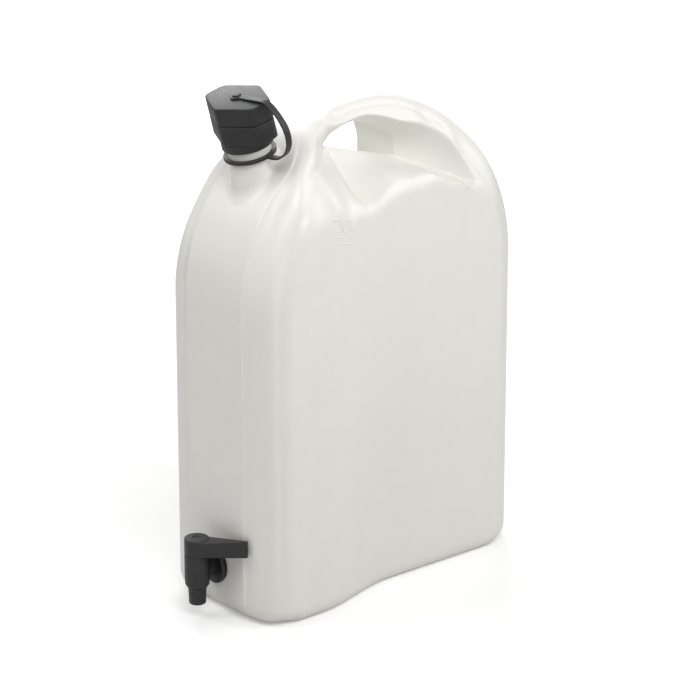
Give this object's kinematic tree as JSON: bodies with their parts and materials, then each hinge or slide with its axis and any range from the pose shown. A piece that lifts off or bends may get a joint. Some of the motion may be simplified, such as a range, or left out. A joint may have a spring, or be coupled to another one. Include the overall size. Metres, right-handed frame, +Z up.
{
  "type": "water jerrycan",
  "caption": "Natural-white plastic water jerrycan with moulded handle, tethered black screw cap and a drain tap with lever.",
  "frame": {"origin": "on the floor, in the middle of the moulded body's length and width; the flat base rests on it", "axes": "+Z up; X along the can with the neck and the tap at -X; the scooped broad side faces -Y"},
  "size_m": [0.4129, 0.171, 0.5475],
  "materials": {
    "can": "satin, slightly translucent",
    "closure": "satin",
    "strap": "satin, flexible",
    "tap": "satin",
    "seal": "matte"
  },
  "bodies": {
    "can": {"can_body": "can", "tap_body": "tap", "tap_washer": "seal", "nut_gasket": "seal", "tether_strap": "strap"},
    "nut": {"neck_nut": "closure"},
    "cap": {"closing_cap": "closure", "cap_gasket": "seal"},
    "tap_lever": {"tap_plug": "tap"}
  },
  "joints": [
    {"name": "nut_turn", "type": "hinge", "parent": "can", "child": "nut", "pos_m": [-0.1376, 0, 0.4811], "axis": [-0.2554, 0, 0.9668], "range_deg": [0, 540]},
    {"name": "cap_turn", "type": "hinge", "parent": "nut", "child": "cap", "pos_m": [-0.1376, 0, 0.4811], "axis": [-0.2554, 0, 0.9668], "range_deg": [0, 540]},
    {"name": "tap_turn", "type": "hinge", "parent": "can", "child": "tap_lever", "pos_m": [-0.2125, 0, 0.05], "axis": [0, 0, -1], "range_deg": [0, 90]}
  ]
}
